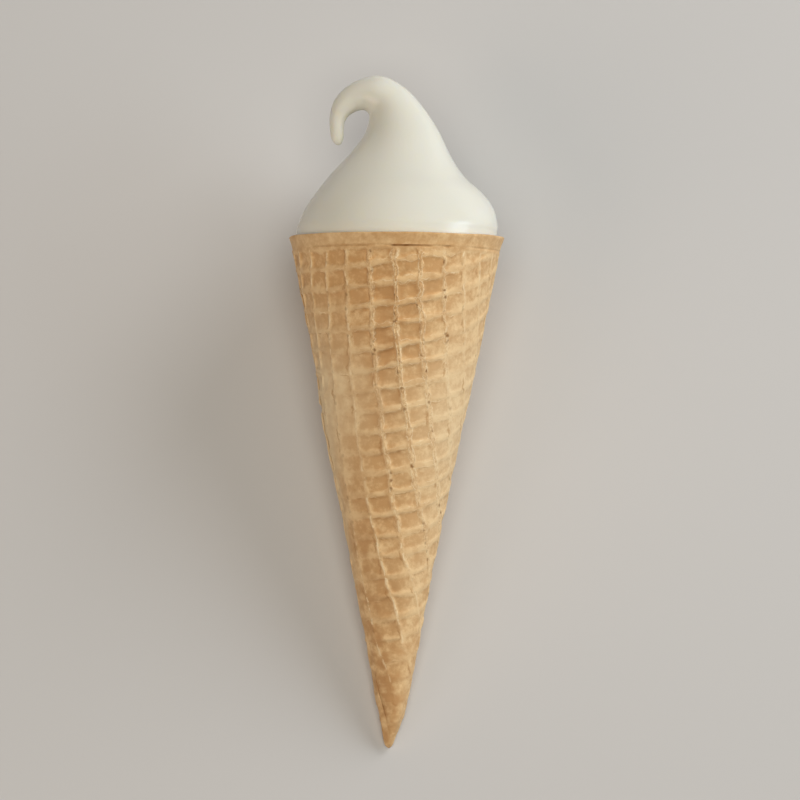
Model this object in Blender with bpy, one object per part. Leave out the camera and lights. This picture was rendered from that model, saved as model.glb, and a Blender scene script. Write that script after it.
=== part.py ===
"""Soft serve in a rolled waffle cone, lying on its side on a small flat spot.

Two solids: the wafer, a baked sheet with square pockets that is rolled into a cone under a plain rim
band, and the soft serve that fills it and stands above the rim as a peak with a curled tip.

Both are modelled upright in the cone's own frame, in metres: +Z runs up the cone's axis from the tip,
+X is to the right of the shown side, and the shown side faces -Y. The carrier empty then lays them down.
"""

from math import atan2, cos, exp, hypot, pi, radians, sin, tan

import bmesh
import bpy
from mathutils import Matrix, Vector

MM = 0.001

# The cone. The apex is where its straight sides would meet, a little below the blunt tip.
CONE_LENGTH = 135 * MM
HALF_ANGLE = radians(11.1)
APEX_DROP = 8.4 * MM
WALL = 1.9 * MM
TIP_RADIUS = 1.3 * MM
TIP_START = 3.2 * MM
TIP_HEIGHTS = (1.9 * MM, 1.1 * MM, 0.5 * MM, 0.15 * MM)

# The lower end is bent a little to the right, and its last stretch is slimmer than the straight cone.
BOW = 0.75 * MM
BOW_MIDDLE, BOW_REACH, BOW_START = 16 * MM, 30 * MM, 11 * MM
PINCH = 0.8 * MM
PINCH_END = 9.5 * MM

# The rim band: a plain ring, a little proud of the sheet and flared at its top.
BAND_HEIGHT = 3.1 * MM
BAND_PROUD = 0.25 * MM
BAND_FLARE = 0.37 * MM
BAND_BEVEL = 0.3 * MM

# The baked sheet's ribs, in its own plane: across the sheet, and along it from the apex to the rim.
RIB_WIDTH = 1.5 * MM
POCKET_DEPTH = 0.6 * MM
COLUMN_PITCH = 6.4 * MM
COLUMN_START = -0.3 * MM
COLUMN_SPLAY = 1.2          # a share of the pitch for each metre below the rim
COLUMN_BOW = 32.4 * MM      # how far the ribs have bowed sideways by the apex
ROW_PITCH = 5.42 * MM
ROW_START = 133.7 * MM
ROW_SLOPE = tan(radians(9.5))
ROW_SAG = 0.9               # how far a row falls, for each square metre off the middle
COLUMNS_LEFT, COLUMNS_RIGHT = 12, 20
ROWS_ABOVE, ROWS_BELOW = 5, 26
SMALLEST_POCKET = 0.7       # cells cut to less than this share of a whole one stay plain
MOST_TURN = radians(26)     # the widest angle round the axis that one edge may span

# The pockets get shallower towards the tip: heights above it, and the share of the depth that is left there.
FLAT_END, FULL_START, LEAST_RELIEF = 6 * MM, 68 * MM, 0.35

# The seam, where the sheet's outer end lies on its start.
SEAM_POINT = Vector((-4.46 * MM, 25.3 * MM, 0))
SEAM_LEAN = radians(18.9)
SEAM_STEP = 0.4 * MM
SEAM_STEP_AT_RIM = 0.12 * MM  # above this stretch the two layers are pressed nearly flush
SEAM_FLUSH_START, SEAM_FLUSH_END = 101 * MM, 108 * MM
SEAM_RAMP_START = radians(285)
SEAM_RAMP_END = radians(330)

# The soft serve. Each station of its outline gives the height above the rim, the shift to the right,
# the radius and how far the section leans over to the left.
STATIONS = (
    (0.0, 0.0, 25.9, 0),
    (2.1, 0.0, 26.4, 0),
    (4.3, 0.13, 25.93, 0),
    (8.6, 0.0, 23.85, 0),
    (12.8, 0.3, 21.3, 0),
    (17.1, 0.0, 17.65, 0),
    (22.4, 0.65, 13.5, 0),
    (27.7, 1.05, 10.25, 3),
    (33.0, -0.65, 7.6, 18),
    (36.75, -3.0, 5.95, 38),
    (38.9, -6.85, 5.0, 68),
    (38.0, -11.2, 3.85, 98),
    (35.4, -14.6, 3.0, 126),
    (32.5, -16.0, 2.3, 152),
    (29.8, -16.2, 1.9, 176),
    (27.2, -16.0, 1.7, 186),
    (25.6, -15.8, 1.1, 186),
    (25.0, -15.7, 0.4, 186),
)
RINGS_PER_STATION = 3
CREAM_SIDES = 36
CREAM_GAP = 0.3 * MM
FILL_DEPTH = 118 * MM
FILL_RINGS = 11             # rings between the filling's foot and the rim, so that it follows the bend
LOBE_HEIGHT = 9 * MM        # the first turn of the swirl, strongest on the right
LOBE_SWELL = 1.8 * MM
LOBE_SPREAD = 4.8 * MM
LOBE_PITCH = 20 * MM        # how much the swirl rises in one turn, from the front round the right
LOBE_FADE = 4               # how quickly the turn flattens away from the right

# How the object lies.
FLAT_DEPTH = 0.5 * MM

# Cutters.
CONE_SIDES = 96
CUTTER_ABOVE = 10 * MM
CUTTER_SIZE = 0.4

RIM_SLANT = (CONE_LENGTH + APEX_DROP) / cos(HALF_ANGLE)
WHOLE_SHEET = 2 * pi * sin(HALF_ANGLE)


def clear_scene():
    for obj in list(bpy.data.objects):
        bpy.data.objects.remove(obj, do_unlink=True)


def food_material(name, colour, roughness):
    material = bpy.data.materials.new(name)
    material.use_nodes = True
    shader = material.node_tree.nodes["Principled BSDF"]
    shader.inputs["Base Color"].default_value = (*colour, 1)
    shader.inputs["Roughness"].default_value = roughness
    shader.inputs["Metallic"].default_value = 0
    material.diffuse_color = (*colour, 1)
    return material


def add_object(name, bm, material=None):
    """Turns the bmesh into an object in the scene."""
    mesh = bpy.data.meshes.new(name)
    bmesh.ops.recalc_face_normals(bm, faces=bm.faces)
    bm.to_mesh(mesh)
    bm.free()
    if material:
        mesh.materials.append(material)
    obj = bpy.data.objects.new(name, mesh)
    bpy.context.scene.collection.objects.link(obj)
    return obj


def add_cutter(name, bm, target):
    """Makes the bmesh a hidden cutter, and has it cut the target."""
    cutter = add_object(name, bm)
    cutter.hide_render = True
    cutter.display_type = "WIRE"
    cut = target.modifiers.new(name, "BOOLEAN")
    cut.operation = "DIFFERENCE"
    cut.solver = "EXACT"
    cut.object = cutter
    return cutter


def smooth(share):
    """Eases a share from 0 to 1."""
    share = min(max(share, 0), 1)
    return share * share * (3 - 2 * share)


def wall_radius(height):
    """The cone's outer radius at a height above the tip, along its straight side."""
    return (height + APEX_DROP) * tan(HALF_ANGLE)


def bowed(height):
    """How far the cone's middle is off its axis at a height."""
    return BOW * exp(-(((height - BOW_MIDDLE) / BOW_REACH) ** 2)) * smooth(height / BOW_START)


def pinched(height):
    """How much slimmer than the straight cone the lower end is at a height."""
    return PINCH * max(1 - height / PINCH_END, 0) ** 1.3


def sheet_point(column, row):
    """Where two ribs cross on the flat sheet, with the apex at the origin and the rim towards +Y."""
    across = column * COLUMN_PITCH
    along = ROW_START + row * ROW_PITCH + ROW_SLOPE * across - ROW_SAG * across**2
    below_rim = RIM_SLANT - along
    across *= 1 + COLUMN_SPLAY * below_rim
    across += COLUMN_START + COLUMN_BOW * (below_rim / RIM_SLANT) ** 2
    return Vector((across, along, 0))


def turn_of(point):
    """The angle round the axis at which a point of the flat sheet ends up."""
    return atan2(point.x, point.y) / sin(HALF_ANGLE)


def seam_turn(slant):
    """The angle round the axis of the seam, at a distance from the apex."""
    direction = Vector((-sin(SEAM_LEAN), cos(SEAM_LEAN), 0))
    reach = SEAM_POINT.dot(direction)
    miss = SEAM_POINT.length_squared - reach**2
    point = SEAM_POINT + direction * (max(slant**2 - miss, 0) ** 0.5 - reach)
    return turn_of(point)


def seam_lift(slant, turn):
    """How far the sheet stands out where it lies on its own start."""
    ramp = (turn - seam_turn(slant) - SEAM_RAMP_START) / (SEAM_RAMP_END - SEAM_RAMP_START)
    flush = smooth((slant - SEAM_FLUSH_START) / (SEAM_FLUSH_END - SEAM_FLUSH_START))
    return smooth(ramp) * (SEAM_STEP + flush * (SEAM_STEP_AT_RIM - SEAM_STEP))


def rolled(point):
    """A point of the flat sheet, with its height off the sheet as z, on the rolled cone."""
    slant, turn = hypot(point.x, point.y), turn_of(point)
    up = slant * cos(HALF_ANGLE) - APEX_DROP
    lift = point.z + seam_lift(slant, turn)
    radius = slant * sin(HALF_ANGLE) + lift * cos(HALF_ANGLE) - pinched(up)
    height = up - lift * sin(HALF_ANGLE)
    return Vector((radius * sin(turn) + bowed(height), -radius * cos(turn), height))


def cut_sheet_to_one_turn(bm):
    """Cuts the flat sheet along the seam and along the line that meets it after one whole turn."""
    edge_tag = bm.edges.layers.int.new("seam")
    for tag, turned in ((1, 0), (2, -WHOLE_SHEET)):
        turn = Matrix.Rotation(turned, 3, "Z")
        outward = Vector((-cos(SEAM_LEAN), -sin(SEAM_LEAN), 0)) * (1 if tag == 1 else -1)
        cut = bmesh.ops.bisect_plane(
            bm,
            geom=bm.verts[:] + bm.edges[:] + bm.faces[:],
            plane_co=turn @ SEAM_POINT,
            plane_no=turn @ outward,
            clear_outer=True,
        )
        for item in cut["geom_cut"]:
            if isinstance(item, bmesh.types.BMEdge):
                item[edge_tag] = tag


def press_pockets(bm):
    """Presses a pocket into each whole cell between the ribs, less deep towards the tip."""
    whole = COLUMN_PITCH * ROW_PITCH
    cells = [f for f in bm.faces if len(f.verts) == 4 and f.calc_area() > SMALLEST_POCKET * whole]
    for cell in cells:
        up = cell.calc_center_median().length * cos(HALF_ANGLE) - APEX_DROP
        full = smooth((up - FLAT_END) / (FULL_START - FLAT_END))
        depth = POCKET_DEPTH * (LEAST_RELIEF + (1 - LEAST_RELIEF) * full)
        bmesh.ops.inset_individual(bm, faces=[cell], thickness=RIB_WIDTH / 2, depth=-depth)


def refine_near_tip(bm):
    """Splits the edges that would span too wide an angle once the sheet is rolled."""
    while True:
        wide = [e for e in bm.edges if abs(turn_of(e.verts[0].co) - turn_of(e.verts[1].co)) > MOST_TURN]
        if not wide:
            return
        bmesh.ops.subdivide_edges(bm, edges=wide, cuts=1)


def trim(bm, height, outward):
    """Cuts the rolled sheet square to the axis and drops what lies outward of the cut."""
    bmesh.ops.bisect_plane(
        bm,
        geom=bm.verts[:] + bm.edges[:] + bm.faces[:],
        plane_co=(0, 0, height),
        plane_no=(0, 0, outward),
        clear_outer=True,
    )


def open_loop(bm, height):
    """The open edges that lie at a height."""
    return [e for e in bm.edges if e.is_boundary and all(abs(v.co.z - height) < 0.01 * MM for v in e.verts)]


def grow_ring(bm, edges, radius, height):
    """Extrudes a ring of open edges to a new radius and height, and returns the new edges."""
    grown = bmesh.ops.extrude_edge_only(bm, edges=edges)["geom"]
    for vert in (item for item in grown if isinstance(item, bmesh.types.BMVert)):
        turn = atan2(vert.co.y, vert.co.x - bowed(vert.co.z))
        vert.co = (radius * cos(turn) + bowed(height), radius * sin(turn), height)
    return [item for item in grown if isinstance(item, bmesh.types.BMEdge)]


def add_rim_band(bm):
    """Builds the plain band on the sheet's upper edge, and closes the top."""
    foot = CONE_LENGTH - BAND_HEIGHT
    edges = open_loop(bm, foot)
    for radius, height in (
        (wall_radius(foot) + BAND_PROUD, foot),
        (wall_radius(foot) + BAND_PROUD, foot + BAND_BEVEL),
        (wall_radius(CONE_LENGTH) + BAND_FLARE, CONE_LENGTH - BAND_BEVEL),
        (wall_radius(CONE_LENGTH) + BAND_FLARE - BAND_BEVEL, CONE_LENGTH),
    ):
        edges = grow_ring(bm, edges, radius, height)
    bmesh.ops.edgeloop_fill(bm, edges=edges)


def add_tip(bm):
    """Rounds off the lower end."""
    edges = open_loop(bm, TIP_START)
    for height in TIP_HEIGHTS:
        rounding = (1 - max(1 - height / TIP_RADIUS, 0) ** 2) ** 0.5
        edges = grow_ring(bm, edges, (wall_radius(height) - pinched(height)) * rounding, height)
    bmesh.ops.edgeloop_fill(bm, edges=edges)


def wafer_body():
    """The rolled wafer as one closed body, before it is hollowed."""
    bm = bmesh.new()
    columns = COLUMNS_LEFT + COLUMNS_RIGHT
    rows = ROWS_ABOVE + ROWS_BELOW
    bmesh.ops.create_grid(bm, x_segments=columns, y_segments=rows, size=0.5)
    for vert in bm.verts:
        column = (vert.co.x + 0.5) * columns - COLUMNS_LEFT
        row = (vert.co.y + 0.5) * rows - ROWS_BELOW
        vert.co = sheet_point(column, row)
    cut_sheet_to_one_turn(bm)
    press_pockets(bm)
    refine_near_tip(bm)
    for vert in bm.verts:
        vert.co = rolled(vert.co)
    trim(bm, CONE_LENGTH - BAND_HEIGHT, 1)
    trim(bm, TIP_START, -1)
    edge_tag = bm.edges.layers.int["seam"]
    seam_edges = [e for e in bm.edges if e[edge_tag] and e.is_boundary]
    bmesh.ops.bridge_loops(bm, edges=seam_edges)
    add_rim_band(bm)
    add_tip(bm)
    return bm


def cone_between(low, high, inset):
    """A closed cone between two heights, bent as the wafer is and set in from its outer side."""
    bm = bmesh.new()
    bmesh.ops.create_cone(
        bm,
        cap_ends=True,
        segments=CONE_SIDES,
        radius1=wall_radius(low) - inset / cos(HALF_ANGLE),
        radius2=wall_radius(high) - inset / cos(HALF_ANGLE),
        depth=high - low,
        matrix=Matrix.Translation((0, 0, (low + high) / 2)),
    )
    sides = [edge for edge in bm.edges if abs(edge.verts[0].co.z - edge.verts[1].co.z) > (high - low) / 2]
    bmesh.ops.subdivide_edges(bm, edges=sides, cuts=FILL_RINGS)
    for vert in bm.verts:
        vert.co.x += bowed(vert.co.z)
    return bm


def eased(values, share):
    """A smooth curve's value between the two middle ones of four, after Catmull and Rom."""
    before, start, end, after = values
    curve = 2 * start + (end - before) * share
    curve += (2 * before - 5 * start + 4 * end - after) * share**2
    curve += (3 * start - before - 3 * end + after) * share**3
    return curve / 2


def cream_sections():
    """The soft serve's sections above the rim, as (height, shift, radius, lean), close together."""
    padded = (STATIONS[0], *STATIONS, STATIONS[-1])
    sections = []
    for first in range(len(STATIONS) - 1):
        for step in range(RINGS_PER_STATION):
            share = step / RINGS_PER_STATION
            sections.append([eased(values, share) for values in zip(*padded[first:first + 4])])
    return sections + [STATIONS[-1]]


def add_section(bm, centre, radius, lean):
    """Adds one open ring, and returns its edges."""
    place = Matrix.Translation(centre) @ Matrix.Rotation(-lean, 4, "Y")
    ring = bmesh.ops.create_circle(bm, segments=CREAM_SIDES, radius=radius, matrix=place)
    return list({edge for vert in ring["verts"] for edge in vert.link_edges})


def swell_lobe(bm):
    """Swells the first turn of the swirl, which is fullest on the right and climbs towards the back."""
    for vert in bm.verts:
        height = vert.co.z - CONE_LENGTH
        around = atan2(vert.co.y, vert.co.x)
        middle = LOBE_HEIGHT + LOBE_PITCH * around / (2 * pi)
        if height > 0:
            swell = LOBE_SWELL * ((1 + cos(around)) / 2) ** LOBE_FADE
            swell *= exp(-(((height - middle) / LOBE_SPREAD) ** 2))
            vert.co.x += swell * cos(around)
            vert.co.y += swell * sin(around)


def soft_serve_body():
    """The soft serve: a plug that fills the cone, and the leaning, curled peak on it."""
    bm = bmesh.new()
    inset = (WALL + CREAM_GAP) / cos(HALF_ANGLE)
    rings = []
    for step in range(FILL_RINGS):
        height = CONE_LENGTH - FILL_DEPTH * (1 - step / FILL_RINGS)
        rings.append(add_section(bm, (bowed(height), 0, height), wall_radius(height) - inset, 0))
    for height, shift, radius, lean in cream_sections():
        centre = (shift * MM, 0, CONE_LENGTH + height * MM)
        rings.append(add_section(bm, centre, radius * MM, radians(lean)))
    for below, above in zip(rings, rings[1:]):
        bmesh.ops.bridge_loops(bm, edges=below + above)
    bmesh.ops.edgeloop_fill(bm, edges=rings[0])
    bmesh.ops.edgeloop_fill(bm, edges=rings[-1])
    swell_lobe(bm)
    return bm


def floor_block():
    """A block under the level that the object rests on."""
    bm = bmesh.new()
    bmesh.ops.create_cube(bm, size=CUTTER_SIZE, matrix=Matrix.Translation((0, 0, -CUTTER_SIZE / 2)))
    return bm


def centre_over_origin(carrier, pieces):
    """Moves the whole so that the middle of its bounding box is over the origin."""
    depsgraph = bpy.context.evaluated_depsgraph_get()
    corners = []
    for piece in pieces:
        shown = piece.evaluated_get(depsgraph)
        corners += [shown.matrix_world @ vert.co for vert in shown.data.vertices]
    for axis in (0, 1):
        along = [corner[axis] for corner in corners]
        carrier.location[axis] -= (min(along) + max(along)) / 2


def main():
    clear_scene()
    carrier = bpy.data.objects.new("carrier", None)
    bpy.context.scene.collection.objects.link(carrier)
    carrier.rotation_euler.x = HALF_ANGLE - pi / 2
    carrier.location.z = APEX_DROP * sin(HALF_ANGLE) - FLAT_DEPTH

    baked = food_material("baked_wafer", (0.74, 0.47, 0.215), 0.65)
    dairy = food_material("soft_serve", (0.80, 0.785, 0.685), 0.3)
    wafer = add_object("wafer_cone", wafer_body(), baked)
    cream = add_object("soft_serve", soft_serve_body(), dairy)
    cavity = cone_between(CONE_LENGTH - FILL_DEPTH - CREAM_GAP, CONE_LENGTH + CUTTER_ABOVE, WALL)
    for piece in (wafer, cream, add_cutter("cavity", cavity, wafer)):
        piece.parent = carrier
    add_cutter("floor_block", floor_block(), wafer)
    cream.data.shade_smooth()
    bpy.context.view_layer.update()
    centre_over_origin(carrier, (wafer, cream))


main()
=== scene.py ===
"""Looks for the soft serve cone: a rolled waffle wafer with soft serve in it, lying on a pale floor."""

from functools import partial
from math import atan2, cos, exp, pi, radians, sin, tan

import bmesh
import bpy
from bpy.props import FloatProperty, FloatVectorProperty, IntProperty, PointerProperty
from mathutils import Matrix, Vector, noise


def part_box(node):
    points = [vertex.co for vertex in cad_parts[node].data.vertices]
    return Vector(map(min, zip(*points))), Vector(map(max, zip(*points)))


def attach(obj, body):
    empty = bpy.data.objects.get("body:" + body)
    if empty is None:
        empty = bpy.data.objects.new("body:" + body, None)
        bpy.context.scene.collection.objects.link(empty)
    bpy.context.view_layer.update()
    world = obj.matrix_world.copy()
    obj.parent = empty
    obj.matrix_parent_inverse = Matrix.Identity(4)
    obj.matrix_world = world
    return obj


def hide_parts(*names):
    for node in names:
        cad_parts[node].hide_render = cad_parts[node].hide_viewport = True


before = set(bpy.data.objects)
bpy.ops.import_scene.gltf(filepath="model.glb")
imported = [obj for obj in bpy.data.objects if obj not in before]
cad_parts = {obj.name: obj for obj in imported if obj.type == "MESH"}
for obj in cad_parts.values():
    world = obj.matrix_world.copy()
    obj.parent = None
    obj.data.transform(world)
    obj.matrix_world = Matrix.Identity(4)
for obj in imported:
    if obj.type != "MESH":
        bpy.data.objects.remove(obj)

bl_info = {
    "name": "Soft Serve Cone",
    "version": (1, 0, 0),
    "blender": (4, 5, 0),
    "location": "3D View > Sidebar > Soft Serve",
    "description": "Rolls a waffle cone, pipes soft serve into it and sets a plain studio round it",
    "category": "Add Mesh",
}

MM = 0.001
SHEET_MAP = "sheet"


# -----------------------------------------------------------------------------
# Settings
# -----------------------------------------------------------------------------

def length(name, description, default):
    """A length that a user can change, given in millimetres."""
    return FloatProperty(name=name, description=description, default=default * MM, unit="LENGTH", precision=5)


def turn(name, description, default):
    """An angle that a user can change, given in degrees."""
    return FloatProperty(name=name, description=description, default=radians(default), subtype="ANGLE")


def share(name, description, default):
    """A share that a user can change."""
    return FloatProperty(name=name, description=description, default=default, subtype="FACTOR")


def number(name, description, default):
    """A number without a limit that a user can change."""
    return FloatProperty(name=name, description=description, default=default)


def count(name, description, default, least, most):
    """A whole number that a user can change within limits."""
    return IntProperty(name=name, description=description, default=default, min=least, max=most)


def colour(name, description, default):
    """A colour that a user can change, as linear red, green and blue."""
    return FloatVectorProperty(
        name=name, description=description, default=default, size=3, subtype="COLOR", min=0, max=1)


class ConeSettings(bpy.types.PropertyGroup):
    """The cone that the wafer and the soft serve share."""

    length: length("Length", "From the blunt tip to the rim", 135)
    half_angle: turn("Half angle", "Between the axis and the straight side", 11.1)
    apex_drop: length("Apex drop", "From the blunt tip down to where the straight sides would meet", 8.4)
    wall: length("Wall", "Thickness of the baked sheet", 1.9)
    foot: length("Filling foot", "Height above the tip that the soft serve reaches down to", 17)
    gap: length(
        "Filling gap", "How far the frame's filling is off the wafer. This one's foot is as far in", 0.3)
    flat: length("Flat spot", "How deep the lying cone's lowest line is flattened", 0.5)


class WaferSettings(bpy.types.PropertyGroup):
    """The baked sheet, its ribs and the way that it is rolled."""

    detail: count("Detail", "Faces along one side of a cell", 15, 4, 20)
    crowding: share("Crowding", "How much closer the faces lie at the ribs than in the pockets", 0.6)
    column_pitch: length("Column pitch", "From rib to rib across the sheet, at the rim", 6.4)
    column_start: length("Column start", "How far right of the middle the first column rib starts", -0.3)
    column_splay: number("Column splay", "Share that the pitch grows by for each metre below the rim", 1.2)
    column_bow: length("Column bow", "How far the column ribs have bowed to the right by the apex", 32.4)
    row_pitch: length("Row pitch", "From rib to rib along the sheet", 5.42)
    row_start: length("Row start", "From the apex to the first row rib, on the middle", 133.7)
    row_slope: turn("Row slope", "How steeply the row ribs rise to the right", 9.5)
    row_sag: number("Row sag", "How far a row falls for each square metre off the middle", 0.9)
    column_half: length("Half column rib", "Half the width of a column rib's top", 0.1)
    column_fall: length("Column rib slope", "Width of the slope down from a column rib", 0.75)
    row_half: length("Half row rib", "Half the width of a row rib's top", 0.18)
    row_fall: length("Row rib slope", "Width of the slope down from a row rib", 1.25)
    torn_width: length("Torn rib width", "How much a rib's half width grows where it is torn", 0.26)
    ragged: length("Ragged edge", "How far the pockets' edges are from smooth", 0.12)
    pocket_depth: length("Pocket depth", "From a rib's top to the pocket floor", 0.42)
    crest: length("Crest height", "Height of the torn crests along a rough rib's edges", 0.14)
    rib_wander: length("Rib wander", "How far the ribs wander from their true lines", 0.7)
    warp: length("Warp", "How far the whole sheet is out of true", 0.3)
    lumps: length("Lumps", "Height of the lumps in the batter", 0.09)
    bow: length("Bow", "How far the lower end is bent to the right", 0.75)
    pinch: length("Pinch", "How much slimmer than the straight cone the tip is", 0.8)
    seam_lean: turn("Seam lean", "How far the sheet's end leans over", 18.9)
    seam_step: length("Seam step", "How far the outer layer stands up at the seam", 0.35)
    seam_step_at_rim: length("Seam step at the rim", "The same where the layers are pressed together", 0.12)
    band_height: length("Band height", "Height of the plain band at the rim", 3.3)
    band_flare: length("Band flare", "How far the band's top stands out from the cone", 0.38)
    band_tilt: length("Band tilt", "How much higher the rim is at the right", 0.6)
    band_rise: length("Band rise", "How far the band's top edge is above the cone's rim", 0.3)
    band_round: length("Band rounding", "Radius of the rim's top edge", 0.2)
    groove_depth: length("Groove depth", "Depth of the line under the band at full strength", 0.5)
    tip_radius: length("Tip radius", "Radius of the blunt tip", 1.3)
    rib_colour: colour("Rib colour", "The pale, least baked batter", (0.815, 0.555, 0.28))
    pocket_colour: colour("Pocket colour", "The browner pocket floors", (0.62, 0.353, 0.143))
    # The pale colour also serves the painted reflection along the wafer's left edge.
    pale_colour: colour("Pale colour", "The palest patches", (0.88, 0.70, 0.43))
    crest_colour: colour("Crest colour", "The torn, dry crests of the rough ribs", (0.97, 0.79, 0.50))
    toast_colour: colour("Toast colour", "The most baked patches", (0.56, 0.31, 0.128))
    # This colour is for cracks in the ribs, and also for painted shade beside the column ribs and under the
    # row ribs.
    crack_and_shade_colour: colour("Split colour", "Cracks and splits in the ribs", (0.49, 0.255, 0.095))
    # This colour is painted shade in the pits, the seam's crease and the line under the band.
    crease_shade_colour: colour("Crease colour", "Pits and creases", (0.2, 0.075, 0.012))
    roughness: share("Roughness", "How matt the wafer is", 0.62)


class CreamSettings(bpy.types.PropertyGroup):
    """The soft serve and its peak."""

    sides: count("Sides", "Points round each section", 120, 24, 240)
    rings: count("Rings", "Rings from one station to the next", 10, 2, 20)
    lobe_swell: length("Lobe swell", "How far the swirl's first turn stands out", 1.8)
    lobe_height: length("Lobe height", "Height of that turn above the rim, at the right", 9)
    lobe_spread: length("Lobe spread", "Half the height of that turn", 4.8)
    lobe_pitch: length("Lobe pitch", "Rise of the swirl in one turn, from the front round the right", 20)
    streak: length("Streak depth", "Depth of the long streaks that the nozzle leaves", 0.05)
    colour: colour("Cream colour", "The soft serve's own colour", (0.80, 0.785, 0.685))
    roughness: share("Roughness", "How satin the cream is", 0.26)
    glow_depth: length("Glow depth", "How far light spreads inside the cream", 0.6)


class StageSettings(bpy.types.PropertyGroup):
    """The plain studio."""

    camera_distance: length("Camera distance", "From the cone's axis to the camera", 683)
    camera_height: length("Camera height", "Height up the cone's axis that the camera is level with", 92.5)
    camera_side: length("Camera side", "How far the camera stands to the right of the axis", 1.64)
    camera_roll: turn("Camera roll", "How far the cone's peak leans right in the picture", 0.85)
    view_angle: turn("View angle", "The camera's angle of view", 17.69)
    floor_colour: colour("Floor colour", "The pale floor", (0.62, 0.61, 0.59))
    key_watts: number("Key light", "Power of the low light on the right", 4.45)
    rim_watts: number("Rim light", "Power of the low light between the right and the peak", 8.4)
    front_watts: number("Front light", "Power of the light by the camera", 7.95)
    fill_watts: number("Fill light", "Power of the light on the left", 3.3)


# -----------------------------------------------------------------------------
# Shared helpers
# -----------------------------------------------------------------------------

def smooth(value):
    """Eases a value between 0 and 1."""
    value = min(max(value, 0), 1)
    return value * value * (3 - 2 * value)


def bump(value, middle, half_width):
    """A smooth hill, 1 at its middle and near 0 at about twice its half width."""
    return exp(-(((value - middle) / half_width) ** 2))


def lying(cone):
    """The matrix that lays the upright cone down where the frame has it."""
    foot_radius = wall_radius(cone, cone.foot) - (cone.wall + cone.gap) / cos(cone.half_angle)
    foot_end = cos(cone.half_angle) * cone.foot - sin(cone.half_angle) * foot_radius
    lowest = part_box("soft_serve")[0].y
    place = Vector((0, lowest - foot_end, cone.apex_drop * sin(cone.half_angle) - cone.flat))
    return Matrix.Translation(place) @ Matrix.Rotation(cone.half_angle - pi / 2, 4, "X")


def wall_radius(cone, height):
    """The cone's outer radius at a height above the tip."""
    return (height + cone.apex_drop) * tan(cone.half_angle)


def add_piece(name, bm, material, node):
    """Turns a bmesh into a finished piece that stands for a node of the frame."""
    bmesh.ops.recalc_face_normals(bm, faces=bm.faces)
    mesh = bpy.data.meshes.new(name)
    bm.to_mesh(mesh)
    bm.free()
    mesh.materials.append(material)
    mesh.shade_smooth()
    piece = bpy.data.objects.new(name, mesh)
    bpy.context.scene.collection.objects.link(piece)
    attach(piece, "root")
    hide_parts(node)
    return piece


def add_node(tree, kind, inputs=None, **settings):
    """Adds a shader node. Its inputs are given numbers, or other nodes' outputs to link."""
    made = tree.nodes.new("ShaderNode" + kind)
    for name, value in settings.items():
        setattr(made, name, value)
    for name, value in (inputs or {}).items():
        if isinstance(value, bpy.types.NodeSocket):
            tree.links.new(value, made.inputs[name])
        else:
            made.inputs[name].default_value = value
    return made


def add_math(tree, operation, *values):
    """Adds a Math node, and returns its output."""
    return add_node(tree, "Math", dict(enumerate(values)), operation=operation).outputs[0]


def add_range(tree, value, low, high, to_low=0.0, to_high=1.0):
    """Adds a smooth Map Range node, and returns its output."""
    inputs = {"Value": value, "From Min": low, "From Max": high, "To Min": to_low, "To Max": to_high}
    return add_node(tree, "MapRange", inputs, interpolation_type="SMOOTHSTEP").outputs["Result"]


def add_mix(tree, factor, first, second):
    """Adds a colour Mix node, and returns its output."""
    mixed = add_node(tree, "Mix", data_type="RGBA")
    for socket, value in zip((mixed.inputs[0], mixed.inputs[6], mixed.inputs[7]), (factor, first, second)):
        if isinstance(value, bpy.types.NodeSocket):
            tree.links.new(value, socket)
        else:
            socket.default_value = (*value, 1) if socket.type == "RGBA" else value
    return mixed.outputs[2]


def new_material(name):
    """A new material, its node tree and its main shader."""
    material = bpy.data.materials.new(name)
    material.use_nodes = True
    return material, material.node_tree, material.node_tree.nodes["Principled BSDF"]


# -----------------------------------------------------------------------------
# The wafer's shape
# -----------------------------------------------------------------------------

def on_cone(*rows):
    """Places on the cone: height above the tip, turn from the front, reach up and round, strength.

    The rows give the first four in millimetres and degrees.
    """
    return [
        (height * MM, radians(turned), reach_up * MM, radians(reach_round), strength)
        for height, turned, reach_up, reach_round, strength in rows]


# How many cells the flat sheet has on each side of the first ribs.
COLUMNS_LEFT, COLUMNS_RIGHT = 12, 20
ROWS_ABOVE, ROWS_BELOW = 5, 26

# The seam: a point on it in the flat sheet. Then, by distances from the apex, where it gets flush, where it
# stands open by the tip, and where it starts and ends coming loose, with the share that shows while shut.
SEAM_POINT = Vector((-4.46 * MM, 25.3 * MM, 0))
SEAM_FLUSH_START, SEAM_FLUSH_END = 101 * MM, 108 * MM
SEAM_OPEN_MIDDLE, SEAM_OPEN_REACH = 21.5 * MM, 5.5 * MM
SEAM_SHUT_END, SEAM_LOOSE_START, SEAM_SHUT_SHARE = 60 * MM, 95 * MM, 0.12

# The turns from the seam between which the sheet rises onto its own start, and the painted shade in the
# seam's
# crease: its strength and its reach.
SEAM_RAMP_START, SEAM_RAMP_END = radians(285), radians(330)
SEAM_CREASE_SHADE, SEAM_CREASE_SHADE_REACH = 0.7, 0.45 * MM

# The lower end, by heights above the tip: where the sheet ends, the rings of the rounding, the bend's middle,
# its reach and what it sets in over, and where it begins to get slimmer.
TIP_START = 3.2 * MM
TIP_HEIGHTS = (2.5 * MM, 1.8 * MM, 1.3 * MM, 0.9 * MM, 0.55 * MM, 0.3 * MM, 0.12 * MM, 0.03 * MM)
BOW_MIDDLE, BOW_REACH, BOW_START = 16 * MM, 30 * MM, 11 * MM
PINCH_END = 9.5 * MM

# The ribs are pressed flat towards the tip: heights above it, and the share of the relief that is left there.
FLAT_END, FULL_START, LEAST_RELIEF = 6 * MM, 68 * MM, 0.22

# The most that the faint patches take off the relief.
MOST_FAINT = 0.8

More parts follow.
